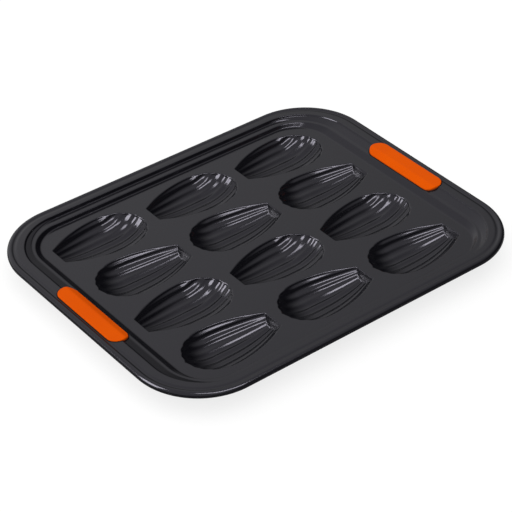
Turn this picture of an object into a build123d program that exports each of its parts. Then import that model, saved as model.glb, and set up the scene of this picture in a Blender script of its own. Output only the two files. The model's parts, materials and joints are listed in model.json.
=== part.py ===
from build123d import *
import math
import os

# Madeleine pan, in millimetres, +Z up. The origin is on the floor under the middle of the pan,
# and +X runs along its length. One steel blank is pressed into a panel with twelve shell moulds
# and a stepped rim, its edge is curled round a steel wire, and a silicone grip is fixed through
# an oval hole at each end.

# Steel blank
sheet = 0.8

# Rows of moulds: neighbouring rows point opposite ways
mould_columns = 3
mould_rows = 4
mould_pitch_x = 96.0
mould_pitch_y = 59.2

# One shell mould, measured inside, at the panel's top face
mould_half_width = 25.0
mould_reach = 31.0
mould_tail = 54.8
mould_depth = 14.4
tip_half_width = 10.3
tip_depth = 8.7
tip_lean = 3.5
flute_count = 11
flute_bow = 0.95
section_rise = 9.0

# Panel and the two steps of the rim: a low one, a narrow ledge and a high one up to the flange
panel_margin_x = 10.8
panel_margin_y = 10.1
lower_rise = 3.65
upper_rise = 3.35
end_lower_run = 5.9
end_ledge = 2.2
end_upper_run = 8.5
end_flange = 12.2
side_lower_run = 1.1
side_ledge = 6.7
side_upper_run = 0.8
side_flange = 9.1

# Corners in plan, from the panel outwards
panel_corner = 32.0
ledge_inner_corner = 37.0
ledge_outer_corner = 43.0
flange_corner = 48.0
bead_corner = 57.5

# Rolled edge and the wire inside it
bead_radius = 3.1
bead_proud = 0.2
wire_clearance = 0.1
flange_tuck = 1.05
curl_start = 135.0
curl_turn = 315.0

# Silicone grips
grip_length = 86.0
grip_width = 19.0
grip_rise = 0.8
grip_under = 1.2
grip_curl_gap = 0.3
slot_length = 76.0
slot_width = 9.0
slot_clearance = 0.1

# How far the moulding tools reach past the faces that they cut, and their closing edge. The outer
# tool of a mould goes a little deeper, and the floor then cuts its foot flat.
overrun = 1.5
tool_edge = 0.5
foot_press = 0.1

# Where the sections of a mould lie: along the tail, and round the wide end. The last one along the
# tail ends the flat foot, and only the sections near the tip lean with the tip wall.
foot_end_share = 0.22
tail_shares = (1.0, 0.75, 0.5, foot_end_share)
turn_shares = (0.0, 0.28, 0.55, 0.8, 1.0)
foot_share = 0.5
lean_power = 4

# Heights above the floor
panel_top = mould_depth + sheet
ledge_top = panel_top + lower_rise
flange_top = ledge_top + upper_rise
bead_centre = flange_top + bead_proud - bead_radius

# Half sizes in plan
mould_length = mould_tail + mould_reach
panel_half_x = ((mould_columns - 1) * mould_pitch_x + mould_length) / 2 + panel_margin_x
panel_half_y = (mould_rows - 1) * mould_pitch_y / 2 + mould_half_width + panel_margin_y
ledge_inner_x = panel_half_x + end_lower_run
ledge_inner_y = panel_half_y + side_lower_run
ledge_outer_x = ledge_inner_x + end_ledge
ledge_outer_y = ledge_inner_y + side_ledge
flange_half_x = ledge_outer_x + end_upper_run
flange_half_y = ledge_outer_y + side_upper_run
bead_half_x = flange_half_x + end_flange
bead_half_y = flange_half_y + side_flange


def oval_section(plane, half_width, depth, bow_here):
    """Half oval of flutes that hangs below the plane's own x axis, which lies across the mould.

    The ridges between the flutes lie on the oval. The middle flute has a flat floor to stand on.
    """
    def spot(turn, bow):
        across = half_width * math.cos(turn)
        down = depth * math.sin(turn)
        normal_across = math.cos(turn) / half_width
        normal_down = math.sin(turn) / depth
        size = math.hypot(normal_across, normal_down)
        return across + bow * normal_across / size, -(down + bow * normal_down / size)

    step = math.pi / flute_count
    ridges = [spot(number * step, 0) for number in range(1, flute_count)]
    ridges = [(half_width, -tool_edge)] + ridges + [(-half_width, -tool_edge)]
    edges = []
    for number in range(flute_count):
        turn = (number + 0.5) * step
        start, end = ridges[number], ridges[number + 1]
        middle = spot(turn, bow_here)
        if number == flute_count // 2:
            half_foot = foot_share * (start[0] - end[0]) / 2
            foot = (middle[0] + half_foot, middle[1]), (middle[0] - half_foot, middle[1])
            edges.extend([Line(start, foot[0]), Line(*foot), Line(foot[1], end)])
        else:
            edges.append(ThreePointArc(start, middle, end))
    edges.append(Line(ridges[-1], ridges[0]))
    return plane * make_face(edges)


def spread(depth):
    """How much wider a section is at its oval's middle, above the panel, than at the panel's top."""
    return 1 / math.sqrt(1 - (section_rise / (depth + section_rise)) ** 2)


def mould_tool(wall, drop):
    """Solid of one shell, grown by wall and deepened by drop.

    Its widest station is at x 0 and the panel's top at z 0. The ovals of its sections have their
    middle above the panel, so that the walls slope at the mouth. It ends a little above the panel.
    """
    clear_depth = mould_depth - flute_bow
    half_width = mould_half_width * spread(clear_depth) + wall
    reach = (mould_reach - flute_bow) * spread(clear_depth) + wall
    tail = mould_tail + wall
    grown = wall + drop + section_rise
    sections = []
    for share in tail_shares:
        lean = math.atan2(tip_lean, tip_depth) * share ** lean_power
        slope_share = (share - foot_end_share) / (1 - foot_end_share)
        depth_here = clear_depth - (mould_depth - tip_depth) * slope_share ** 2
        mouth_here = mould_half_width - (mould_half_width - tip_half_width) * share ** 2
        width_here = mouth_here * spread(depth_here) + wall
        up = Vector(-math.sin(lean), 0, math.cos(lean))
        origin = (-tail * share - section_rise * math.tan(lean), 0, section_rise)
        plane = Plane(origin=origin, x_dir=(0, 1, 0), z_dir=Vector(0, 1, 0).cross(up))
        down = (depth_here + grown) / math.cos(lean)
        sections.append(oval_section(plane, width_here, down, flute_bow * width_here / half_width))
    for share in turn_shares:
        turn = share * math.pi / 2
        radius = 1 / math.hypot(math.sin(turn) / reach, math.cos(turn) / (clear_depth + grown))
        up = Vector(-math.sin(turn), 0, math.cos(turn))
        plane = Plane(origin=(0, 0, section_rise), x_dir=(0, 1, 0), z_dir=Vector(0, 1, 0).cross(up))
        sections.append(oval_section(plane, half_width, radius, flute_bow))
    spare = Pos(0, 0, overrun + section_rise / 2) * Box(4 * tail, 4 * half_width, section_rise)
    return loft(sections, ruled=True) - spare


def mould_places():
    """Where each mould's widest station is, and which way it points."""
    places = []
    for row in range(mould_rows):
        turned = row % 2 == 0
        for column in range(mould_columns):
            x = (column - (mould_columns - 1) / 2) * mould_pitch_x
            y = (row - (mould_rows - 1) / 2) * mould_pitch_y
            shift = (mould_tail - mould_reach) / 2
            if turned:
                places.append(Location((x - shift, y, panel_top), (0, 0, 180)))
            else:
                places.append(Location((x + shift, y, panel_top)))
    return places


def outline(half_x, half_y, corner, level):
    """Rounded rectangle at a height."""
    return Pos(0, 0, level) * RectangleRounded(2 * half_x, 2 * half_y, corner)


def step_block(low, high):
    """Block between two rounded rectangles, each given as half x, half y, corner and height."""
    return loft([outline(*low), outline(*high)], ruled=True)


def bend_shift(run, rise):
    """How far out a bend's outer line lies, for a wall with this run and rise."""
    return sheet * math.tan(math.atan2(rise, run) / 2)


def basin(wall):
    """What the rim holds above the panel, or with a wall the same grown by the sheet's thickness."""
    lower_x = wall * bend_shift(end_lower_run, lower_rise)
    lower_y = wall * bend_shift(side_lower_run, lower_rise)
    upper_x = wall * bend_shift(end_upper_run, upper_rise)
    upper_y = wall * bend_shift(side_upper_run, upper_rise)
    lower_corner = (lower_x + lower_y) / 2
    upper_corner = (upper_x + upper_y) / 2
    drop = wall * sheet
    foot = (panel_half_x + lower_x, panel_half_y + lower_y, panel_corner + lower_corner,
            panel_top - drop)
    ledge_in = (ledge_inner_x + lower_x, ledge_inner_y + lower_y, ledge_inner_corner + lower_corner,
                ledge_top - drop)
    ledge_out = (ledge_outer_x + upper_x, ledge_outer_y + upper_y, ledge_outer_corner + upper_corner,
                 ledge_top - drop)
    brim = (flange_half_x + upper_x, flange_half_y + upper_y, flange_corner + upper_corner,
            flange_top - drop)
    return step_block(foot, ledge_in) + step_block(ledge_out, brim)


def around_rim(section):
    """Carries a section, drawn about the bead's middle with x outwards, once round the rim."""
    pieces = []
    for quarter in range(4):
        odd = quarter % 2 == 1
        out = bead_half_y if odd else bead_half_x
        run = (bead_half_x if odd else bead_half_y) - bead_corner
        turned = Rot(0, 0, 90 * quarter)
        start = Plane(origin=(out, -run, bead_centre), x_dir=(1, 0, 0), z_dir=(0, -1, 0))
        end = Plane(origin=(out, run, bead_centre), x_dir=(1, 0, 0), z_dir=(0, -1, 0))
        axis = Axis((out - bead_corner, run, 0), (0, 0, 1))
        pieces.append(turned * extrude(start * section, amount=2 * run, dir=(0, 1, 0)))
        pieces.append(turned * revolve(end * section, axis=axis, revolution_arc=90))
    return pieces[0] + pieces[1:]


def curl_section():
    """The curled edge, open on its inner side under the flange."""
    inner_radius = bead_radius - sheet
    end = curl_start - curl_turn
    outer_arc = CenterArc((0, 0), bead_radius, curl_start, -curl_turn)
    inner_arc = CenterArc((0, 0), inner_radius, curl_start, -curl_turn)

    def radial(angle):
        along = (math.cos(math.radians(angle)), math.sin(math.radians(angle)))
        near = (inner_radius * along[0], inner_radius * along[1])
        far = (bead_radius * along[0], bead_radius * along[1])
        return Line(near, far)

    return make_face([outer_arc, radial(end), inner_arc, radial(curl_start)])


def wire_radius():
    """The wire fits the curl's bore with a running gap."""
    return bead_radius - sheet - wire_clearance


def stadium(length, width, low, high):
    """Upright prism with round ends, long across the pan, at the middle of the +X grip."""
    middle = bead_half_x - bead_radius - grip_curl_gap - grip_width / 2
    shape = Pos(middle, 0, low) * Rot(0, 0, 90) * SlotOverall(length, width)
    return extrude(shape, amount=high - low)


def end_band(above, below):
    """Band that follows the +X rim's section, from below its under face to above its top face."""
    lower = bend_shift(end_lower_run, lower_rise)
    upper = bend_shift(end_upper_run, upper_rise)

    def rim_line(depth):
        part = depth / sheet
        return [
            (panel_half_x - end_flange, panel_top - depth),
            (panel_half_x + lower * part, panel_top - depth),
            (ledge_inner_x + lower * part, ledge_top - depth),
            (ledge_outer_x + upper * part, ledge_top - depth),
            (flange_half_x + upper * part, flange_top - depth),
            (bead_half_x, flange_top - depth),
        ]

    line = rim_line(-above) + rim_line(sheet + below)[::-1]
    face = Plane.XZ * make_face(Polyline(*line, close=True))
    return extrude(face, amount=grip_length, both=True)


def grip():
    """Silicone grip at the +X end: a pad over the rim, a waist in the slot and a pad beneath."""
    low = panel_top - grip_under - sheet
    high = bead_centre + bead_radius + grip_rise
    pads = end_band(grip_rise, grip_under) & stadium(grip_length, grip_width, low, high)
    rim = end_band(0, 0) - stadium(
        slot_length - 2 * slot_clearance, slot_width - 2 * slot_clearance, low, high)
    return pads - rim


def slot():
    """Cutter for the hole that the +X grip passes through."""
    return stadium(slot_length, slot_width, panel_top - overrun, flange_top + overrun)


def floor_block():
    """The worktop that the moulds' feet are flattened on."""
    return Pos(0, 0, -overrun / 2) * Box(2 * bead_half_x, 2 * bead_half_y, overrun)


def pan():
    """The pressed sheet: rim, panel, moulds and curled edge in one piece."""
    flange = extrude(
        outline(bead_half_x - flange_tuck, bead_half_y - flange_tuck, bead_corner - flange_tuck,
                flange_top - sheet), amount=sheet)
    blank = basin(1) + flange
    shell = mould_tool(sheet, foot_press)
    hollow = mould_tool(0, 0)
    shells = [place * shell for place in mould_places()]
    hollows = [place * hollow for place in mould_places()]
    pressed = blank + shells
    pressed = pressed - floor_block()
    pressed = pressed - basin(0)
    pressed = pressed - hollows
    pressed = pressed - slot() - Rot(0, 0, 180) * slot()
    return pressed + around_rim(curl_section())


os.makedirs("parts", exist_ok=True)
right_grip = grip()
pieces = {
    "pan": pan(),
    "rim_wire": around_rim(Circle(wire_radius())),
    "grip_right": right_grip,
    "grip_left": Rot(0, 0, 180) * right_grip,
}
for name, piece in pieces.items():
    piece.label = name
    export_step(piece, f"parts/{name}.step")
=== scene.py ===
# %% [markdown]
# # A madeleine pan in Blender
#
# The real object is a sheet of steel, pressed into twelve fluted shells and a stepped rim, rolled
# round a wire at its edge and covered with a dark non-stick coating. A silicone grip is moulded
# through a slot at each end. This lesson builds what shows of it round a CAD model that is already
# there. The CAD model fixes every size, and the meshes here add what its solids leave out: soft
# bends, rounded flutes and grips with rounded edges, ringed by a painted shadow line.

# %% Load the CAD model
import json
import math

import bmesh
import bpy
import numpy as np
from mathutils import Matrix, Vector
from mathutils.geometry import delaunay_2d_cdt


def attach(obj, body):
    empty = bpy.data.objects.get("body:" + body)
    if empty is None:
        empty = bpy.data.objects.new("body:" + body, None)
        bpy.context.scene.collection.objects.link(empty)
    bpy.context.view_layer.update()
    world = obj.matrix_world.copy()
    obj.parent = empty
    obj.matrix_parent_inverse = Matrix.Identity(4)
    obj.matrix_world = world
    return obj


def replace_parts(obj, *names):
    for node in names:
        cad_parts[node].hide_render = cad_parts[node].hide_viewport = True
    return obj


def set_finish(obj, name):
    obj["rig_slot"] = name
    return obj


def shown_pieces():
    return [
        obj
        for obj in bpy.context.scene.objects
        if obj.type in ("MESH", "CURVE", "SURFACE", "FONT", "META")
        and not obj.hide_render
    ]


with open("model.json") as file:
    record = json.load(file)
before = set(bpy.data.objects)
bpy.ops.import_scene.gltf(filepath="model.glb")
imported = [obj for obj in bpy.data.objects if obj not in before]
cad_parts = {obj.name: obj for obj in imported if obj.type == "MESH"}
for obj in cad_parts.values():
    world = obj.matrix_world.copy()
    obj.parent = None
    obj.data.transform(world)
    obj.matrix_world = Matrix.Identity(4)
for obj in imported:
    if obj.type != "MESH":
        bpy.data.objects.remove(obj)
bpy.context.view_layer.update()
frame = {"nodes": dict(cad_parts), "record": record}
mm = 0.001
print("CAD nodes:", sorted(frame["nodes"]))

# %% [markdown]
# ## The pan's sizes
#
# The pressing is drawn again from the same sizes as the CAD model, in millimetres. They could be
# measured from the CAD mesh, but written out they say what each number means: a step, a ledge, a
# flange, the rolled bead. Only the radii of the bends are new, because the CAD model has sharp ones.

# %% Sizes of the pressing
SHEET = 0.8
PITCH_X, PITCH_Y = 96.0, 59.2
COLUMNS, ROWS = 3, 4
HALF_WIDTH, REACH, TAIL, DEPTH = 25.0, 31.0, 54.8, 14.4
TIP_HALF_WIDTH, TIP_DEPTH, TIP_LEAN = 10.3, 8.7, 3.5
FLUTES, FLUTE_BOW = 11, 0.95
CENTRE_RISE, FOOT_END, LEAN_POWER = 9.0, 0.22, 4
PANEL_TOP, LEDGE_TOP, FLANGE_TOP = 15.2, 18.85, 22.2
BEAD_RADIUS, BEAD_CENTRE = 3.1, 19.3
BEAD_X, BEAD_Y, BEAD_CORNER = 178.5, 141.6, 57.5

MOUTH_DROP = 0.85
MOUTH_ROLL = 0.95
RIDGE_SOFT = 0.15
TIP_FILLET = 0.45
FLUTE_FADE = 1.5
print("shells:", COLUMNS * ROWS, "of", TAIL + REACH, "by", 2 * HALF_WIDTH, "mm")

# %% [markdown]
# ## One shell
#
# A shell's section is the lower part of an oval whose middle lies above the panel, so its walls
# slope at the mouth already. It is swept: straight along the tail, where it narrows and gets
# shallower, and then round in a quarter turn to the wide end, as the cup of a scallop is. The oval
# has eleven flutes. It could be a sculpted surface or a displaced one, but a formula for one section
# is exact, and lets the mesh lines follow the flutes.


# %% A cross-section of a shell
def flute_wave(turn):
    """0 on a ridge and 1 in the middle of a flute, with the ridge softly rounded."""
    share = (turn / (math.pi / FLUTES)) % 1.0
    near = np.minimum(share, 1 - share)
    soft = np.sqrt(near**2 + RIDGE_SOFT**2) - RIDGE_SOFT
    soft = soft * 0.5 / (math.sqrt(0.25 + RIDGE_SOFT**2) - RIDGE_SOFT)
    return 4 * soft * (1 - soft)


def spread(drop):
    """How much wider the oval is at its centre than at the panel's top."""
    return 1 / math.sqrt(1 - (CENTRE_RISE / drop) ** 2)


WIDEST = HALF_WIDTH * spread(DEPTH - FLUTE_BOW + CENTRE_RISE)


def cross_section(part, share, turn, inset=0.0):
    """Points x, y, z at the angles turn. z is 0 on the panel's top, and x is 0 at the widest place."""
    turn = np.asarray(turn, float)
    depth = DEPTH - FLUTE_BOW
    if part == "tail":
        lean = math.atan2(TIP_LEAN, TIP_DEPTH) * share**LEAN_POWER
        width = HALF_WIDTH - (HALF_WIDTH - TIP_HALF_WIDTH) * share**2
        slope = max(share - FOOT_END, 0) / (1 - FOOT_END)
        drop = depth - (DEPTH - TIP_DEPTH) * slope**2 + CENTRE_RISE
        width = width * spread(drop)
        down = drop / math.cos(lean)
        start = -TAIL * share - CENTRE_RISE * math.tan(lean)
    else:
        lean = share * math.pi / 2
        drop = depth + CENTRE_RISE
        width = HALF_WIDTH * spread(drop)
        far = (REACH - FLUTE_BOW) * spread(drop)
        down = 1 / math.hypot(math.sin(lean) / far, math.cos(lean) / drop)
        start = 0.0
    below = np.clip((down * np.sin(turn) * math.cos(lean) - CENTRE_RISE) / FLUTE_FADE, 0, 1)
    bow = FLUTE_BOW * width / WIDEST * flute_wave(turn) * (0.4 + 0.6 * below) - inset
    normal_y, normal_down = np.cos(turn) / width, np.sin(turn) / down
    size = np.hypot(normal_y, normal_down)
    y = width * np.cos(turn) + bow * normal_y / size
    hang = down * np.sin(turn) + bow * normal_down / size
    return np.stack([start + hang * math.sin(lean), y, CENTRE_RISE - hang * math.cos(lean)], -1)


print("middle of the floor:", cross_section("tail", 0.0, [math.pi / 2])[0].round(2), "mm")


# %% [markdown]
# The cross-sections stop a millimetre below the panel, where the bend into the panel starts. Round
# the wide end they are spaced so that their ends lie evenly along the mouth, and the narrow end is
# closed by a flat wall with a rounded edge, which a real punch needs so as not to tear the steel.

# %% The rows of one shell
COLUMNS_PER_FLUTE = 8
TURNS = np.linspace(0, math.pi, FLUTES * COLUMNS_PER_FLUTE + 1)


def halving(test, low, high):
    """Where test changes from true to false between low and high."""
    for _ in range(40):
        middle = (low + high) / 2
        low, high = (middle, high) if test(middle) else (low, middle)
    return high


def shell_row(part, share, inset=0.0):
    """A cross-section from one side of the mouth to the other."""
    start = halving(
        lambda turn: cross_section(part, share, turn, inset)[2] > -MOUTH_DROP, 0.0, math.pi / 2)
    return cross_section(part, share, np.clip(TURNS, start, math.pi - start), inset)


def shell_rows():
    """All rows of a shell, from the middle of the tip wall's mouth to the end of the wide end's."""
    rows = []
    wall_edge = shell_row("tail", 1.0, TIP_FILLET)
    top = (wall_edge[0] + wall_edge[-1]) / 2
    for share in np.linspace(0, 1, 7)[:-1]:
        rows.append(top + share * (wall_edge - top))
    for angle in np.radians(np.linspace(90, 0, 6)):
        share = 1 - TIP_FILLET / TAIL * (1 - math.sin(angle))
        rows.append(shell_row("tail", share, TIP_FILLET * (1 - math.cos(angle))))
    for share in np.linspace(1 - TIP_FILLET / TAIL, 0, 36)[1:]:
        rows.append(shell_row("tail", share))
    last = halving(
        lambda share: cross_section("turn", share, math.pi / 2)[2] < -MOUTH_DROP, 0.3, 1.0)
    far = cross_section("turn", last, math.pi / 2)[0]
    by_mouth = [math.atan(far * math.sin(a) / (MOUTH_DROP + CENTRE_RISE)) * 2 / math.pi
                for a in np.linspace(0, math.pi / 2, 61)[1:]]
    by_turn = [s for s in np.linspace(0, last, 22)[1:-1]
               if min(abs(s - other) for other in by_mouth) > 0.012]
    for share in sorted(by_mouth[:-1] + by_turn):
        rows.append(shell_row("turn", share))
    rows.append(np.repeat([cross_section("turn", last, math.pi / 2)], len(TURNS), axis=0))
    return np.array(rows)


rows = shell_rows()
print("one shell:", rows.shape[0], "rows of", rows.shape[1], "points")

# %% [markdown]
# A small store of points and faces keeps the pressing in one piece. Points that fall together are
# one point, so rows can run into each other at the mouth without loose edges.


# %% A store for the pressing's mesh
class Skin:
    """Points and faces of one continuous surface."""

    def __init__(self):
        self.points, self.faces, self.known = [], [], {}

    def add(self, point):
        key = tuple(np.round(point, 4))
        if key not in self.known:
            self.known[key] = len(self.points)
            self.points.append(np.asarray(point, float))
        return self.known[key]

    def loop(self, points):
        return [self.add(point) for point in points]

    def strip(self, first, second, closed=True):
        """Faces between two lines of as many points."""
        count = len(first)
        for i in range(count if closed else count - 1):
            j = (i + 1) % count
            corners = []
            for index in (first[i], first[j], second[j], second[i]):
                if index not in corners:
                    corners.append(index)
            if len(corners) > 2:
                self.faces.append(corners)


def without_repeats(points):
    """The points of a closed line, less those that repeat the one before."""
    kept = [points[0]]
    for point in points[1:]:
        if np.linalg.norm(point - kept[-1]) > 1e-3:
            kept.append(point)
    if np.linalg.norm(kept[-1] - kept[0]) < 1e-3:
        kept.pop()
    return np.array(kept)


def along_loop(points):
    """The direction of a closed line at each of its points."""
    ahead = np.roll(points, -1, axis=0) - np.roll(points, 1, axis=0)
    return ahead / np.linalg.norm(ahead, axis=1)[:, None]


print("the store is ready")

# %% [markdown]
# ## The mouth's soft bend
#
# Where steel is pressed down it can't turn a sharp corner. The bend is a short curve that leaves the
# shell's wall in the wall's own direction and arrives flat on the panel. A bevel modifier could do
# it, but it stumbles on the scalloped edge of the wide end.


# %% The mouth of a shell
def point_normals(points, faces):
    """Averaged normals of a mesh's points."""
    normals = np.zeros((len(points), 3))
    for face in faces:
        a, b, c = (points[i] for i in face[:3])
        normal = np.cross(b - a, c - a)
        for i in face:
            normals[i] += normal
    return normals / np.maximum(np.linalg.norm(normals, axis=1), 1e-9)[:, None]


def soften(points, times):
    """Evens out a closed line."""
    for _ in range(times):
        points = 0.5 * points + 0.25 * (np.roll(points, 1, axis=0) + np.roll(points, -1, axis=0))
    return points


def mouth_rings(skin, mouth):
    """Rings from the shell's wall, over the bend, to the flat panel."""
    normals = point_normals(skin.points, skin.faces)[skin.loop(mouth)]
    along = along_loop(mouth)
    upward = np.cross(along, normals)
    upward *= np.sign(upward[:, 2])[:, None]
    corner = mouth + upward * (MOUTH_DROP / np.maximum(upward[:, 2], 0.5))[:, None]
    corner[:, 2] = 0.0
    outward = np.stack([along[:, 1], -along[:, 0], np.zeros(len(along))], -1)
    flat = soften(corner + outward * MOUTH_ROLL, 4)
    rings = []
    for share in np.linspace(0, 1, 7)[1:]:
        rings.append((1 - share) ** 2 * mouth + 2 * share * (1 - share) * corner + share**2 * flat)
    rings.append(flat + outward * 0.3)
    return rings


def one_shell():
    """The surface of a shell with its mouth, and the mouth's outer ring."""
    skin = Skin()
    lines = [skin.loop(row) for row in rows]
    for near, far in zip(lines, lines[1:]):
        skin.strip(near, far, closed=False)
    mouth = without_repeats(np.concatenate([rows[:, 0], rows[::-1, -1]]))
    area = np.sum(mouth[:, 0] * np.roll(mouth[:, 1], -1) - mouth[:, 1] * np.roll(mouth[:, 0], -1))
    mouth = mouth if area > 0 else mouth[::-1]
    before = skin.loop(mouth)
    for ring in mouth_rings(skin, mouth):
        after = skin.loop(ring)
        skin.strip(before, after)
        before = after
    return skin, ring


shell_skin, shell_ring = one_shell()
print("shell with its mouth:", len(shell_skin.points), "points, ring of", len(shell_ring))

# %% [markdown]
# ## The rim's steps
#
# Going outwards from the panel, the steel climbs a low step to a narrow ledge, then a high step to
# the flange, and ends in the bead. The steps are gentle slopes at the two ends with the grips and
# nearly upright along the sides. So one side line is drawn for the ends and one for the sides, with
# as many points each, and the corners turn from one to the other.

# %% The rim's section lines
END_KEYS = [(149.7, PANEL_TOP), (155.6, LEDGE_TOP), (157.8, LEDGE_TOP), (165.7, 21.2), (166.3, FLANGE_TOP),
            (BEAD_X - 4.9, FLANGE_TOP), (BEAD_X - 3.0, FLANGE_TOP - 0.6)]
SIDE_KEYS = [(123.9, PANEL_TOP), (125.0, LEDGE_TOP), (131.7, LEDGE_TOP), (132.26, 21.2), (132.5, FLANGE_TOP),
             (BEAD_Y - 4.9, FLANGE_TOP), (BEAD_Y - 3.0, FLANGE_TOP - 0.6)]
CORNER_KEYS = [32.0, 37.0, 43.0, 47.3, 48.0, BEAD_CORNER - 4.9, BEAD_CORNER - 3.0]
RUN_POINTS = [5, 2, 12, 2, 9, 1]
CURL_START, CURL_END, CURL_POINTS = 128.0, -180.0, 30
BEND_POINTS = 4


def bent_line(keys, reach):
    """A line through keys whose corners are bends. It starts flat, a little inside the first key."""
    line = [np.array(key, float) for key in keys]
    before = line[0] - (2 * reach, 0)
    line = [before] + line
    points = [before]
    for index in range(1, len(line) - 1):
        back, here, on = line[index - 1:index + 2]
        to_back, to_on = back - here, on - here
        limit = 0.45 if index > 1 else 0.8
        start = here + to_back * min(limit, reach / np.linalg.norm(to_back))
        end = here + to_on * min(0.45, reach / np.linalg.norm(to_on))
        for share in np.linspace(0, 1, BEND_POINTS + 1):
            points.append((1 - share) ** 2 * start + 2 * share * (1 - share) * here + share**2 * end)
        following = on + (here - on) * min(0.45, reach / np.linalg.norm(to_on))
        for share in np.linspace(0, 1, RUN_POINTS[index - 1] + 1)[1:-1]:
            points.append(end + share * (following - end))
    points.append(line[-1])
    return np.array(points)


def with_curl(line, centre):
    """Adds the bead's outer skin to a section line."""
    angles = np.radians(np.linspace(CURL_START, CURL_END, CURL_POINTS))
    curl = np.stack([centre + BEAD_RADIUS * np.cos(angles), BEAD_CENTRE + BEAD_RADIUS * np.sin(angles)], -1)
    return np.concatenate([line, curl])


end_line = with_curl(bent_line(END_KEYS, 1.1), BEAD_X)
side_line = with_curl(bent_line(SIDE_KEYS, 0.9), BEAD_Y)
corner_line = bent_line([(value, 0.0) for value in CORNER_KEYS], 0.9)[:, 0]
corner_line = np.concatenate([corner_line, BEAD_CORNER + side_line[len(corner_line):, 0] - BEAD_Y])
print("rim:", len(end_line), "lines round it")

# %% The rim's loops
GRIP_LENGTH, GRIP_WIDTH, GRIP_GAP = 86.0, 19.0, 0.3
SLOT_LENGTH, SLOT_WIDTH = 76.0, 9.0
GRIP_X = BEAD_X - BEAD_RADIUS - GRIP_GAP - GRIP_WIDTH / 2
END_PLACES = np.concatenate([
    np.linspace(-80, -48, 6)[:-1], np.linspace(-48, 48, 97), np.linspace(48, 80, 6)[1:]])
SIDE_POINTS, CORNER_POINTS = 17, 29


def rim_loop(end, side, corner):
    """One loop of the rim, from a point of the end line, one of the side line and a corner radius."""
    end_x, end_z = end
    side_y, side_z = side
    half_end, half_side = side_y - corner, end_x - corner
    loop = [(end_x, place, end_z) for place in (-half_end, *END_PLACES, half_end)]
    for hand in (1, -1):
        angles = np.linspace(0, math.pi / 2, CORNER_POINTS)[1:-1]
        for angle in angles if hand == 1 else angles[::-1]:
            level = end_z + (side_z - end_z) * (1 - math.cos(2 * angle)) / 2
            out = hand * (half_side + corner * math.cos(angle))
            loop.append((out, half_end + corner * math.sin(angle), level))
        if hand == 1:
            loop += [(place, side_y, side_z) for place in np.linspace(half_side, -half_side, SIDE_POINTS)]
    loop = np.array(loop)
    return np.concatenate([loop, loop * (-1, -1, 1)])


loops = [rim_loop(*parts) for parts in zip(end_line, side_line, corner_line)]
print("each loop has", len(loops[0]), "points; the last is", round(float(loops[-1][:, 2].min()), 2), "mm up")

# %% [markdown]
# ## One sheet from shells, panel and rim
#
# The twelve shells are copies of one, every other row turned round. The flat panel between them is
# filled with triangles, which is enough for a plane. A slot for each grip is left out of the rim, and
# the mesh's edge is pulled onto the slot's outline. Real sheet has a thickness, so a Solidify
# modifier gives the surface its 0.8 mm on the underside and is applied at once.

# %% Joining the pressing
def slot_pull(point):
    """Where a point beside a slot's edge belongs on its outline, and how far inside the slot it is."""
    sign = 1 if point[0] > 0 else -1
    straight, radius = (SLOT_LENGTH - SLOT_WIDTH) / 2, SLOT_WIDTH / 2
    spine = np.array([sign * GRIP_X, np.clip(point[1], -straight, straight)])
    away = np.array(point[:2]) - spine
    distance = max(np.linalg.norm(away), 1e-6)
    return spine + away / distance * radius, radius - distance


def rim_height(x):
    """Height of the rim's top on an end with a grip."""
    count = int(np.argmax(end_line[:, 0] > BEAD_X - 1.8))
    return np.interp(np.abs(x), end_line[:count, 0], end_line[:count, 1])


def shell_places():
    for row in range(ROWS):
        sign = -1 if row % 2 == 0 else 1
        for column in range(COLUMNS):
            x = (column - (COLUMNS - 1) / 2) * PITCH_X + sign * (TAIL - REACH) / 2
            yield np.array([x, (row - (ROWS - 1) / 2) * PITCH_Y, PANEL_TOP]), sign


def inside(polygon, spots):
    """Which spots lie inside a polygon."""
    hits = np.zeros(len(spots), bool)
    for a, b in zip(polygon, np.roll(polygon, -1, axis=0)):
        crosses = (a[1] > spots[:, 1]) != (b[1] > spots[:, 1])
        with np.errstate(divide="ignore", invalid="ignore"):
            at = a[0] + (spots[:, 1] - a[1]) * (b[0] - a[0]) / (b[1] - a[1])
        hits ^= crosses & (spots[:, 0] < at)
    return hits


def flat_fill(skin, rings):
    """Triangles between the first ring and the others, which are holes in it."""
    flat = [np.array([skin.points[i][:2] for i in ring]) for ring in rings]
    index = [i for ring in rings for i in ring]
    edges, start = [], 0
    for ring in rings:
        edges += [(start + i, start + (i + 1) % len(ring)) for i in range(len(ring))]
        start += len(ring)
    spots = [Vector(spot) for ring in flat for spot in ring]
    made = delaunay_2d_cdt(spots, edges, [], 0, 1e-5)
    corners = np.array(made[2])
    middles = np.array([tuple(v) for v in made[0]])[corners].mean(1)
    keep = inside(flat[0], middles)
    for hole in flat[1:]:
        keep &= ~inside(hole, middles)
    source = [index[ids[0]] for ids in made[3]]
    return [[source[i] for i in face] for face in corners[keep]]


def press_sheet():
    """The top surface of the whole pressing in a bmesh, in metres."""
    skin = Skin()
    rings = []
    local = np.array(shell_skin.points)
    for place, sign in shell_places():
        index = skin.loop(local * (sign, sign, 1) + place)
        skin.faces += [[index[i] for i in face] for face in shell_skin.faces]
        rings.append(skin.loop(shell_ring * (sign, sign, 1) + place))
    lines = [skin.loop(loop) for loop in loops]
    panel_edge = lines[0]
    for near, far in zip(lines, lines[1:]):
        skin.strip(near, far)
    mesh = bmesh.new()
    verts = [mesh.verts.new(point * mm) for point in skin.points]
    for face in skin.faces:
        mesh.faces.new([verts[i] for i in face])
    for corners in flat_fill(skin, [panel_edge] + rings):
        mesh.faces.new([verts[i] for i in corners])
    return mesh


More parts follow.
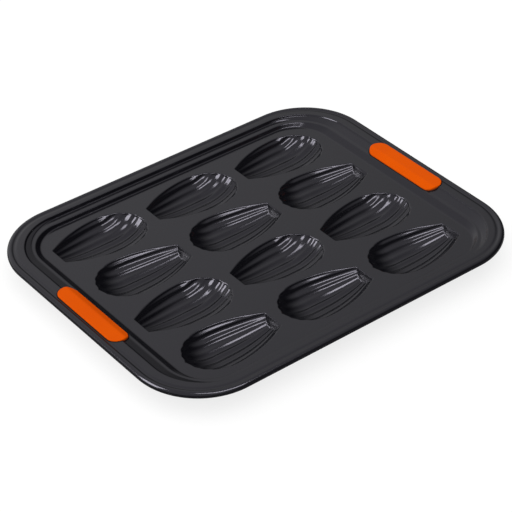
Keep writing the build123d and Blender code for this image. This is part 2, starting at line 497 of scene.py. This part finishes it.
def cut_slots(mesh):
    """Takes the two slots out of the rim."""
    gone = [face for face in mesh.faces if slot_pull(face.calc_center_median() / mm)[1] > 0]
    bmesh.ops.delete(mesh, geom=gone, context="FACES")
    for vert in mesh.verts:
        spot, depth = slot_pull(vert.co / mm)
        if vert.is_boundary and abs(depth) < 1.5:
            vert.co = Vector((spot[0], spot[1], rim_height(spot[0]))) * mm


sheet_mesh = press_sheet()
cut_slots(sheet_mesh)
bmesh.ops.recalc_face_normals(sheet_mesh, faces=sheet_mesh.faces)
if sum(face.normal.z * face.calc_area() for face in sheet_mesh.faces) < 0:
    bmesh.ops.reverse_faces(sheet_mesh, faces=sheet_mesh.faces)
print("pressing:", len(sheet_mesh.verts), "points,", len(sheet_mesh.faces), "faces")

# %% [markdown]
# The bend's under-side would fold over itself in the narrow flutes if it kept exactly 0.8 mm, so the
# thickness is added with a plain offset, and the sheet's edges are closed by the same modifier.

# %% The pan
def add_modifier(piece, kind, **values):
    """Adds a modifier and applies it."""
    modifier = piece.modifiers.new(kind.lower(), kind)
    for key, value in values.items():
        setattr(modifier, key, value)
    bpy.context.view_layer.objects.active = piece
    piece.select_set(True)
    bpy.ops.object.modifier_apply(modifier=modifier.name)
    piece.select_set(False)


def smooth_object(mesh, name):
    """Turns a bmesh into a smooth-shaded object."""
    data = bpy.data.meshes.new(name)
    mesh.to_mesh(data)
    mesh.free()
    data.polygons.foreach_set("use_smooth", [True] * len(data.polygons))
    piece = bpy.data.objects.new(name, data)
    bpy.context.scene.collection.objects.link(piece)
    return piece


pan = smooth_object(sheet_mesh, "pan_sheet")
add_modifier(pan, "SOLIDIFY", thickness=SHEET * mm, offset=-1.0, use_rim=True)
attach(pan, "root")
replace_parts(pan, "pan")
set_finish(pan, "coated_steel")
print("pan:", len(pan.data.polygons), "faces,", [round(v * 1000, 2) for v in pan.dimensions], "mm")

# %% [markdown]
# ## The silicone grips
#
# Each grip is one moulding: a pad on top, a waist through the slot and a pad underneath. It follows
# the rim below it, flat on the flange and sloping down to the ledge, with softly rounded edges. It is
# built as loops round a stadium shape, from the middle of the top, over the edge, through the slot
# and back to the middle underneath, so that it is one closed skin.

# %% The grips
PAD_RISE, PAD_UNDER, PAD_EDGE, FIT = 0.8, 1.2, 0.6, 0.1
PAD_CREASE = 162.4
PAD_TRIM, SKIRT, SKIRT_RISE = 0.35, 0.8, 0.05
STADIUM_SIDE, STADIUM_END = 60, 32
grip_reach = np.linspace(GRIP_X - GRIP_WIDTH, BEAD_X - BEAD_RADIUS, 200)
silicone_line = np.interp(grip_reach, (GRIP_X - GRIP_WIDTH / 2, PAD_CREASE), (LEDGE_TOP, FLANGE_TOP))
for _ in range(60):
    silicone_line[1:-1] = (silicone_line[:-2] + 2 * silicone_line[1:-1] + silicone_line[2:]) / 4


def stadium(inset):
    """Points round the grip's outline, moved inwards."""
    straight, radius = (GRIP_LENGTH - GRIP_WIDTH) / 2, max(GRIP_WIDTH / 2 - inset, 0.0)
    angles = np.linspace(0, math.pi, STADIUM_END + 1)
    end = np.stack([radius * np.cos(angles), straight + radius * np.sin(angles)], -1)
    side = np.stack([np.full(STADIUM_SIDE - 1, -radius),
                     np.linspace(straight, -straight, STADIUM_SIDE + 1)[1:-1]], -1)
    half = np.concatenate([end, side])
    return np.concatenate([half, -half]) + (GRIP_X, 0)


def grip_loops():
    """Loops of a pad from its middle to the waist: (inset, height over the rim, share of painted shadow)."""
    pad = GRIP_WIDTH / 2
    waist = (GRIP_LENGTH - SLOT_LENGTH) / 2 + FIT
    over = [(inset, PAD_RISE, 0) for inset in np.linspace(pad, PAD_TRIM + PAD_EDGE, 20)]
    over += [(PAD_TRIM + PAD_EDGE * (1 - math.sin(a)), PAD_RISE - PAD_EDGE * (1 - math.cos(a)), 0)
             for a in np.linspace(0, math.pi / 2, 7)[1:]]
    # A thin skirt lies flat on the sheet round the pad. The skirt and the waist are painted near black, a
    # painted shadow line where the pad meets the sheet.
    skirt_edge = PAD_TRIM - SKIRT
    over += [(PAD_TRIM, SKIRT_RISE, 1), (skirt_edge, SKIRT_RISE, 1), (skirt_edge, 0.0, 1)]
    return over + [(inset, 0.0, 1) for inset in np.linspace(0, waist, 5)]


def make_grip(name, sign):
    """A grip on the +X end, or turned round onto the -X end."""
    skin = Skin()
    top, under, shadow = [], [], {}
    for inset, rise, dark in grip_loops():
        outline = stadium(inset)
        sheet_top = rim_height(outline[:, 0])
        pad_top = np.interp(outline[:, 0], grip_reach, silicone_line)
        top.append(np.column_stack([outline, rise + (sheet_top if dark else np.maximum(pad_top, sheet_top))]))
        under.insert(0, np.column_stack([outline, sheet_top - SHEET * 1.04 - rise * PAD_UNDER / PAD_RISE]))
    lines = [skin.loop(loop * (sign, sign, 1)) for loop in top + under]
    for line, (_, _, dark) in zip(lines, grip_loops() + grip_loops()[::-1]):
        shadow.update({index: float(dark) for index in line})
    for near, far in zip(lines, lines[1:]):
        skin.strip(near, far)
    mesh = bmesh.new()
    verts = [mesh.verts.new(point * mm) for point in skin.points]
    for face in skin.faces:
        if mesh.faces.get([verts[i] for i in face]) is None:
            mesh.faces.new([verts[i] for i in face])
    bmesh.ops.recalc_face_normals(mesh, faces=mesh.faces)
    piece = smooth_object(mesh, name)
    # edge_shadow is 1 on the skirt and the waist, the points that the silicone paints as shadow.
    mask = piece.data.attributes.new("edge_shadow", "FLOAT", "POINT")
    mask.data.foreach_set("value", [shadow[index] for index in range(len(skin.points))])
    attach(piece, "root")
    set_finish(piece, "silicone")
    return piece


for node, sign in (("grip_right", 1), ("grip_left", -1)):
    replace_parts(make_grip(node + "_pad", sign), node)
print("grips made")


# %% [markdown]
# ## Finishes
#
# Both the coating and the silicone have a fine grain: the coating is sprayed on and dries with a
# faint orange peel and tiny flecks, and the silicone takes the matt grain of its mould. A painted
# texture could show it, but noise worked out in the shader stays sharp at any distance and needs no
# unwrapping. One node group makes it, and each finish gives it its own scale.

# %% The grain that two finishes share
def link_value(tree, node, name, source):
    """Sets or links an input, whichever source is."""
    if hasattr(source, "is_output"):
        tree.links.new(source, node.inputs[name])
    else:
        node.inputs[name].default_value = source


def new_node(tree, kind, inputs=None, **settings):
    node = tree.nodes.new(kind)
    for key, value in settings.items():
        setattr(node, key, value)
    for name, source in (inputs or {}).items():
        link_value(tree, node, name, source)
    return node


def fine_grain_group():
    """Grain: flecks of shade, slow patches and a height, from the object's own coordinates."""
    group = bpy.data.node_groups.new("fine_grain", "ShaderNodeTree")
    for name, default in (("Grain per m", 2000.0), ("Patches per m", 20.0), ("Fleck Share", 0.4)):
        socket = group.interface.new_socket(name, in_out="INPUT", socket_type="NodeSocketFloat")
        socket.default_value = default
    for name in ("Flecks", "Patches", "Height"):
        group.interface.new_socket(name, in_out="OUTPUT", socket_type="NodeSocketFloat")
    given = new_node(group, "NodeGroupInput")
    result = new_node(group, "NodeGroupOutput")
    where = new_node(group, "ShaderNodeTexCoord").outputs["Object"]
    fine = new_node(group, "ShaderNodeTexNoise", {"Vector": where, "Scale": given.outputs[0], "Detail": 2.0})
    slow = new_node(group, "ShaderNodeTexNoise", {"Vector": where, "Scale": given.outputs[1], "Detail": 3.0})
    cells = new_node(group, "ShaderNodeTexVoronoi", {"Vector": where, "Scale": given.outputs[0]})
    fleck = new_node(group, "ShaderNodeMapRange", {
        "Value": cells.outputs["Distance"], "From Min": 0.0, "From Max": given.outputs[2],
        "To Min": 1.0, "To Max": 0.0})
    group.links.new(fleck.outputs["Result"], result.inputs["Flecks"])
    group.links.new(slow.outputs["Fac"], result.inputs["Patches"])
    group.links.new(fine.outputs["Fac"], result.inputs["Height"])
    return group


fine_grain = fine_grain_group()
given = [socket.name for socket in fine_grain.interface.items_tree if socket.in_out == "OUTPUT"]
print("group:", fine_grain.name, "puts out", given)

# %% [markdown]
# The coating is nearly black. What reads as charcoal grey on the flat panel is the studio mirrored in
# its surface, and that is why the steep walls of the shells look so much darker. So its colour is
# dark and its gloss does the work. The grips are matt and show their own colour instead.

# %% The three finishes
def finish(name, grain, patches, flecks):
    """A material with its shader and its own use of the grain group."""
    material = bpy.data.materials.new(name)
    material.use_nodes = True
    tree = material.node_tree
    shader = tree.nodes["Principled BSDF"]
    texture = new_node(tree, "ShaderNodeGroup", node_tree=fine_grain)
    for value, socket in zip((grain, patches, flecks), texture.inputs):
        socket.default_value = value
    return tree, shader, texture


def shade_between(tree, shader, texture, output, dark, light):
    """Base colour that moves between two shades."""
    mix = new_node(tree, "ShaderNodeMix", {"Factor": texture.outputs[output]}, data_type="RGBA")
    for socket, colour in zip([i for i in mix.inputs if i.type == "RGBA"], (dark, light)):
        socket.default_value = (*colour, 1)
    result = next(o for o in mix.outputs if o.type == "RGBA")
    tree.links.new(result, shader.inputs["Base Color"])
    return result


def rough_between(tree, shader, texture, low, high):
    """Roughness that drifts slowly between two values."""
    rough = new_node(tree, "ShaderNodeMapRange", {
        "Value": texture.outputs["Patches"], "From Min": 0.3, "From Max": 0.7, "To Min": low, "To Max": high})
    tree.links.new(rough.outputs["Result"], shader.inputs["Roughness"])


def bump_by(tree, shader, height, distance, strength):
    """Bump from a height output."""
    bump = new_node(tree, "ShaderNodeBump", {"Height": height, "Distance": distance, "Strength": strength})
    tree.links.new(bump.outputs["Normal"], shader.inputs["Normal"])


tree, shader, texture = finish("nonstick_coating", 1600.0, 18.0, 0.35)
shade_between(tree, shader, texture, "Flecks", (0.0050, 0.0049, 0.0066), (0.0078, 0.0076, 0.0100))
rough_between(tree, shader, texture, 0.13, 0.17)
bump_by(tree, shader, texture.outputs["Height"], 0.00001, 0.3)
shader.inputs["IOR"].default_value = 1.32
shader.inputs["Specular Tint"].default_value = (0.90, 0.87, 1.0, 1.0)

tree, shader, texture = finish("orange_silicone", 2600.0, 30.0, 0.3)
orange = shade_between(tree, shader, texture, "Patches", (0.575, 0.065, 0.0), (0.64, 0.082, 0.0))
# Points marked by edge_shadow are mixed to near black: a painted shadow round the pad's base.
shadowed = new_node(tree, "ShaderNodeMix", data_type="RGBA")
edge_shadow = new_node(tree, "ShaderNodeAttribute", attribute_name="edge_shadow")
tree.links.new(edge_shadow.outputs["Fac"], shadowed.inputs[0])
tree.links.new(orange, [i for i in shadowed.inputs if i.type == "RGBA"][0])
[i for i in shadowed.inputs if i.type == "RGBA"][1].default_value = (0.006, 0.005, 0.005, 1)
tree.links.new(next(o for o in shadowed.outputs if o.type == "RGBA"), shader.inputs["Base Color"])
rough_between(tree, shader, texture, 0.48, 0.58)
bump_by(tree, shader, texture.outputs["Height"], 0.00003, 0.5)
shader.inputs["Specular IOR Level"].default_value = 0.03
shader.inputs["Specular Tint"].default_value = (1.0, 0.5, 0.15, 1.0)

tree, shader, texture = finish("wire_steel", 900.0, 60.0, 0.3)
shade_between(tree, shader, texture, "Patches", (0.42, 0.42, 0.43), (0.56, 0.56, 0.56))
rough_between(tree, shader, texture, 0.28, 0.42)
shader.inputs["Metallic"].default_value = 1.0

FINISHES = {"coated_steel": "nonstick_coating", "silicone": "orange_silicone", "wire_steel": "wire_steel"}
SLOTS = {part["node"]: part["material_slot"] for part in frame["record"]["subparts"]}
for name, node in frame["nodes"].items():
    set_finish(node, SLOTS[name])
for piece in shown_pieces():
    piece.data.materials.clear()
    piece.data.materials.append(bpy.data.materials[FINISHES[piece["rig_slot"]]])

# %% [markdown]
# ## The studio
#
# The photograph is a catalogue picture: white all round, soft light, no hard shadow. The pan shows
# where its light comes from, because each flute mirrors it: a tall soft box on the left makes the
# dashes in the wide ends, a lamp in front and above makes the long streaks, and the side to the right
# is dark. The floor and the world are white to the camera only: the coating mirrors the darker
# studio, as it does in the photograph, and no light is added to the object. The lamps show only in
# what the pieces mirror, and the soft light from all round does the rest.

# %% Floor and world
FLOOR_SHADE = 0.22


def add_floor_white(tree, other):
    """Adds the light that brings the floor up to white where the camera sees it."""
    path = new_node(tree, "ShaderNodeLightPath")
    strength = new_node(tree, "ShaderNodeMath", {
        0: path.outputs["Is Camera Ray"], 1: 1 - FLOOR_SHADE}, operation="MULTIPLY")
    white = new_node(tree, "ShaderNodeEmission", {"Strength": strength.outputs[0]})
    both = new_node(tree, "ShaderNodeAddShader")
    tree.links.new(other.outputs[0], both.inputs[0])
    tree.links.new(white.outputs[0], both.inputs[1])
    return both


floor_data = bpy.data.meshes.new("floor")
floor_data.from_pydata([(-9, -9, 0), (9, -9, 0), (9, 9, 0), (-9, 9, 0)], [], [(0, 1, 2, 3)])
floor = bpy.data.objects.new("floor", floor_data)
bpy.context.scene.collection.objects.link(floor)
pale = bpy.data.materials.new("pale_floor")
pale.use_nodes = True
tree = pale.node_tree
shader = tree.nodes["Principled BSDF"]
shader.inputs["Base Color"].default_value = (FLOOR_SHADE, FLOOR_SHADE, FLOOR_SHADE, 1)
shader.inputs["Roughness"].default_value = 1.0
shader.inputs["Specular IOR Level"].default_value = 0.0
tree.links.new(add_floor_white(tree, shader).outputs[0], tree.nodes["Material Output"].inputs["Surface"])
floor.data.materials.append(pale)

BRIGHT_SIDE = Vector((-0.696, 0.123, 0.707))
world = bpy.data.worlds.new("studio")
bpy.context.scene.world = world
world.use_nodes = True
tree = world.node_tree
lit = tree.nodes["Background"]
direction = new_node(tree, "ShaderNodeTexCoord").outputs["Generated"]
facing = new_node(tree, "ShaderNodeVectorMath", {"Vector": direction}, operation="DOT_PRODUCT")
facing.inputs[1].default_value = BRIGHT_SIDE
shade = new_node(tree, "ShaderNodeMapRange", {
    "Value": facing.outputs["Value"], "From Min": -0.45, "From Max": 0.45, "To Min": 0.0, "To Max": 1.42},
                 interpolation_type="SMOOTHSTEP")
path = new_node(tree, "ShaderNodeLightPath")
white = new_node(tree, "ShaderNodeBackground", {"Strength": 1.0})
shown = new_node(tree, "ShaderNodeMixShader", {"Fac": path.outputs["Is Camera Ray"]})
tree.links.new(shade.outputs[0], lit.inputs["Strength"])
tree.links.new(lit.outputs[0], shown.inputs[1])
tree.links.new(white.outputs[0], shown.inputs[2])
white.inputs["Color"].default_value = (1, 1, 1, 1)
lit.inputs["Color"].default_value = (1, 1, 1, 1)
tree.links.new(shown.outputs[0], tree.nodes["World Output"].inputs["Surface"])
print("world and floor are white to the camera")

# %% Lamps
def lamp(name, azimuth, elevation, distance, width, height, radiance):
    """A soft box that faces the pan. Azimuth 0 is +X and 90 is +Y; radiance 1 looks plain white."""
    data = bpy.data.lights.new(name, "AREA")
    data.shape = "RECTANGLE"
    data.size, data.size_y = width, height
    data.energy = radiance * math.pi * width * height
    a, e = math.radians(azimuth), math.radians(elevation)
    towards = Vector((math.cos(a) * math.cos(e), math.sin(a) * math.cos(e), math.sin(e)))
    light = bpy.data.objects.new(name, data)
    bpy.context.scene.collection.objects.link(light)
    light.location = towards * distance + Vector((0, 0, PANEL_TOP * mm))
    light.rotation_mode = "QUATERNION"
    light.rotation_quaternion = towards.to_track_quat("Z", "Y")
    light.visible_diffuse = False
    print(name, "gives", round(data.energy, 1), "W")


lamp("tall_box_left", 162, 32, 1.3, 0.64, 0.77, 20.0)
lamp("front_box", 272, 52, 1.3, 0.82, 0.36, 19.0)
lamp("upper_box", 233, 60, 1.3, 0.30, 0.30, 16.0)

# %% Camera
EYE = Vector((-0.7866, -1.0264, 0.9632))
YAW, PITCH, ROLL = -0.65332, 0.63963, -0.01984
FOCAL_SHARE = 1914.4 / 512
back = Vector((math.sin(YAW) * math.cos(PITCH), -math.cos(YAW) * math.cos(PITCH), math.sin(PITCH)))
right = Vector((math.cos(YAW), math.sin(YAW), 0))
up = back.cross(right)
right, up = (math.cos(ROLL) * right + math.sin(ROLL) * up, -math.sin(ROLL) * right + math.cos(ROLL) * up)
camera = bpy.data.objects.new("camera", bpy.data.cameras.new("camera"))
bpy.context.scene.collection.objects.link(camera)
camera.data.sensor_width = 36
camera.data.lens = camera.data.sensor_width * FOCAL_SHARE
placed = Matrix((right, up, back)).transposed().to_4x4()
placed.translation = EYE
camera.matrix_world = placed
bpy.context.scene.camera = camera
bpy.context.scene.view_settings.view_transform = "Standard"
print("lens:", round(camera.data.lens, 1), "mm")
